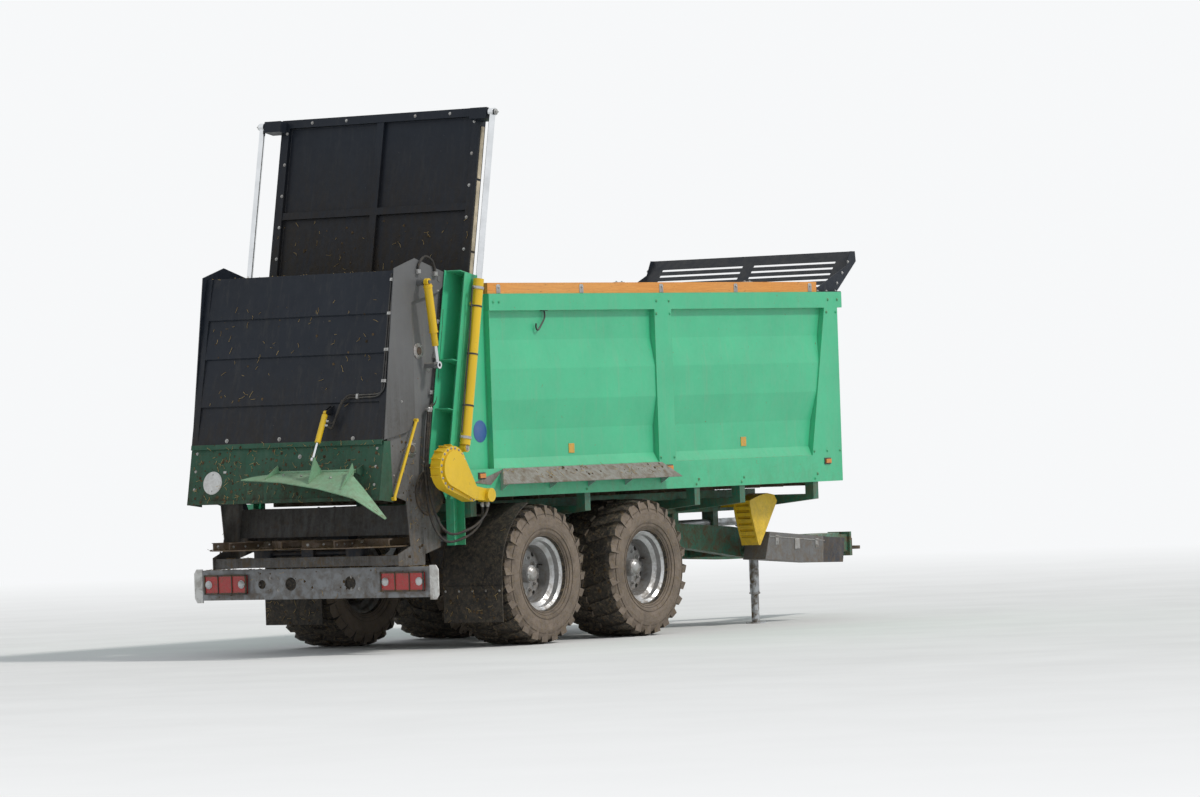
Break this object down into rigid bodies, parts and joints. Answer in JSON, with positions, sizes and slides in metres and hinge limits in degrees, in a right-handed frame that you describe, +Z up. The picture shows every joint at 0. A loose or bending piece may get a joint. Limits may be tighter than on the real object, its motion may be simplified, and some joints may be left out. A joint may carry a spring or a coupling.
{
  "type": "tandem-axle manure spreader",
  "caption": "Towed hopper on tandem wheels with a chain floor, lifting gate, hood, tined beaters, spreading discs and a parking jack.",
  "frame": {"origin": "middle of the bounding box on the ground, the rear axle 2.215 m behind it", "axes": "+X forward to the hitch, +Y left, +Z up"},
  "size_m": [8.9061, 2.552, 4.4673],
  "materials": {
    "body_green": "green enamel with dust and splashes",
    "frame_green": "dark green enamel, dirty",
    "anthracite": "satin anthracite enamel",
    "side_grey": "dusty grey enamel",
    "floor_steel": "scoured steel with manure film",
    "beater_steel": "worn steel",
    "yellow": "signal yellow enamel",
    "chrome": "polished",
    "galvanised": "weathered zinc",
    "rim_silver": "silver enamel",
    "black_steel": "matt black enamel",
    "black_rubber": "matt rubber",
    "tyre": "dusty tread rubber",
    "timber": "weathered stained timber",
    "lamp_red": "lamp lens",
    "deflector_green": "dusty light green enamel"
  },
  "bodies": {
    "chassis": {"chassis_frame": "frame_green", "drawbar": "frame_green", "hitch_eye": "black_steel", "axles": "black_steel", "leaf_springs": "black_steel", "floor_deck": "floor_steel", "floor_conveyor": "floor_steel", "side_wall_left": "body_green", "side_wall_right": "body_green", "side_frame_left": "body_green", "side_frame_right": "body_green", "front_wall": "body_green", "front_guard": "anthracite", "rear_posts": "body_green", "top_boards": "timber", "gate_barrels": "yellow", "spreader_frame": "side_grey", "drive_gearboxes": "anthracite", "beater_drive_case": "anthracite", "floor_gearbox": "yellow", "light_bar": "galvanised", "lamps": "lamp_red", "fenders": "galvanised", "mudguards": "black_rubber", "wheel_chocks": "yellow", "tool_box": "side_grey", "air_tank": "black_steel", "hydraulic_hoses": "black_rubber"},
    "gate": {"gate_panel": "anthracite", "gate_rods": "chrome"},
    "hood": {"hood_panel": "anthracite", "hood_lower_panel": "body_green", "hood_stays": "yellow"},
    "hood_barrel_left": {"hood_barrel_left": "yellow"},
    "hood_barrel_right": {"hood_barrel_right": "yellow"},
    "hood_rod_left": {"hood_rod_left": "chrome"},
    "hood_rod_right": {"hood_rod_right": "chrome"},
    "deflector": {"deflector": "deflector_green"},
    "deflector_barrel": {"deflector_barrel": "yellow"},
    "deflector_rod": {"deflector_rod": "chrome"},
    "jack": {"jack_leg": "galvanised"},
    "pto_driveline": {"pto_driveline": "galvanised"},
    "beater_lower": {"beater_lower": "beater_steel"},
    "beater_upper": {"beater_upper": "beater_steel"},
    "spinner_left": {"spinner_left": "beater_steel"},
    "spinner_right": {"spinner_right": "beater_steel"},
    "wheel_front_left": {"tyre_front_left": "tyre", "rim_front_left": "rim_silver"},
    "wheel_front_right": {"tyre_front_right": "tyre", "rim_front_right": "rim_silver"},
    "wheel_rear_left": {"tyre_rear_left": "tyre", "rim_rear_left": "rim_silver"},
    "wheel_rear_right": {"tyre_rear_right": "tyre", "rim_rear_right": "rim_silver"}
  },
  "joints": [
    {"name": "gate_lift", "type": "slide", "parent": "chassis", "child": "gate", "axis": [0.1942, 0, 0.981], "range_m": [-1.25, 0]},
    {"name": "hood_hinge", "type": "hinge", "parent": "chassis", "child": "hood", "pos_m": [-3.265, 0, 3.05], "axis": [0, 1, 0], "range_deg": [0, 70]},
    {"name": "hood_barrel_left_pivot", "type": "hinge", "parent": "hood", "child": "hood_barrel_left", "pos_m": [-3.555, 1.088, 3.02], "axis": [0, 1, 0], "range_deg": [-57.89, 0]},
    {"name": "hood_rod_left_slide", "type": "slide", "parent": "hood_barrel_left", "child": "hood_rod_left", "axis": [0.1526, 0, -0.9883], "range_m": [0, 0.28618]},
    {"name": "hood_barrel_right_pivot", "type": "hinge", "parent": "hood", "child": "hood_barrel_right", "pos_m": [-3.555, -1.088, 3.02], "axis": [0, 1, 0], "range_deg": [-57.89, 0]},
    {"name": "hood_rod_right_slide", "type": "slide", "parent": "hood_barrel_right", "child": "hood_rod_right", "axis": [0.1526, 0, -0.9883], "range_m": [0, 0.28618]},
    {"name": "deflector_hinge", "type": "hinge", "parent": "hood", "child": "deflector", "pos_m": [-4.205, -0.37, 1.5], "axis": [0, 1, 0], "range_deg": [0, 35]},
    {"name": "deflector_barrel_pivot", "type": "hinge", "parent": "hood", "child": "deflector_barrel", "pos_m": [-4.12, -0.43, 1.98], "axis": [0, 1, 0], "range_deg": [-8.41, 0]},
    {"name": "deflector_rod_slide", "type": "slide", "parent": "deflector_barrel", "child": "deflector_rod", "axis": [-0.451, 0, -0.8925], "range_m": [-0.06872, 0]},
    {"name": "jack_fold", "type": "hinge", "parent": "chassis", "child": "jack", "pos_m": [1.895, -0.56, 0.64], "axis": [0, 1, 0], "range_deg": [0, 90]},
    {"name": "pto_turn", "type": "hinge", "parent": "chassis", "child": "pto_driveline", "pos_m": [2.775, 0, 0.9], "axis": [1, 0, 0], "continuous": true},
    {"name": "beater_lower_turn", "type": "hinge", "parent": "chassis", "child": "beater_lower", "pos_m": [-3.685, 0, 1.66], "axis": [0, 1, 0], "continuous": true},
    {"name": "beater_upper_turn", "type": "hinge", "parent": "chassis", "child": "beater_upper", "pos_m": [-3.545, 0, 2.46], "axis": [0, 1, 0], "continuous": true},
    {"name": "spinner_left_turn", "type": "hinge", "parent": "chassis", "child": "spinner_left", "pos_m": [-3.815, 0.475, 0.87], "axis": [0, 0, 1], "continuous": true},
    {"name": "spinner_right_turn", "type": "hinge", "parent": "chassis", "child": "spinner_right", "pos_m": [-3.815, -0.475, 0.87], "axis": [0, 0, 1], "continuous": true},
    {"name": "wheel_front_left_turn", "type": "hinge", "parent": "chassis", "child": "wheel_front_left", "pos_m": [-0.705, 0.935, 0.585], "axis": [0, 1, 0], "continuous": true},
    {"name": "wheel_front_right_turn", "type": "hinge", "parent": "chassis", "child": "wheel_front_right", "pos_m": [-0.705, -0.935, 0.585], "axis": [0, 1, 0], "continuous": true},
    {"name": "wheel_rear_left_turn", "type": "hinge", "parent": "chassis", "child": "wheel_rear_left", "pos_m": [-2.215, 0.935, 0.585], "axis": [0, 1, 0], "continuous": true},
    {"name": "wheel_rear_right_turn", "type": "hinge", "parent": "chassis", "child": "wheel_rear_right", "pos_m": [-2.215, -0.935, 0.585], "axis": [0, 1, 0], "continuous": true}
  ],
  "couplings": [
    {"joint": "hood_barrel_left_pivot", "follows": "hood_hinge", "ratio": -0.82615},
    {"joint": "hood_rod_left_slide", "follows": "hood_hinge", "m_per_rad": 0.23401},
    {"joint": "hood_barrel_right_pivot", "follows": "hood_hinge", "ratio": -0.82615},
    {"joint": "hood_rod_right_slide", "follows": "hood_hinge", "m_per_rad": 0.23401},
    {"joint": "deflector_barrel_pivot", "follows": "deflector_hinge", "ratio": -0.23998},
    {"joint": "deflector_rod_slide", "follows": "deflector_hinge", "m_per_rad": -0.11238}
  ]
}
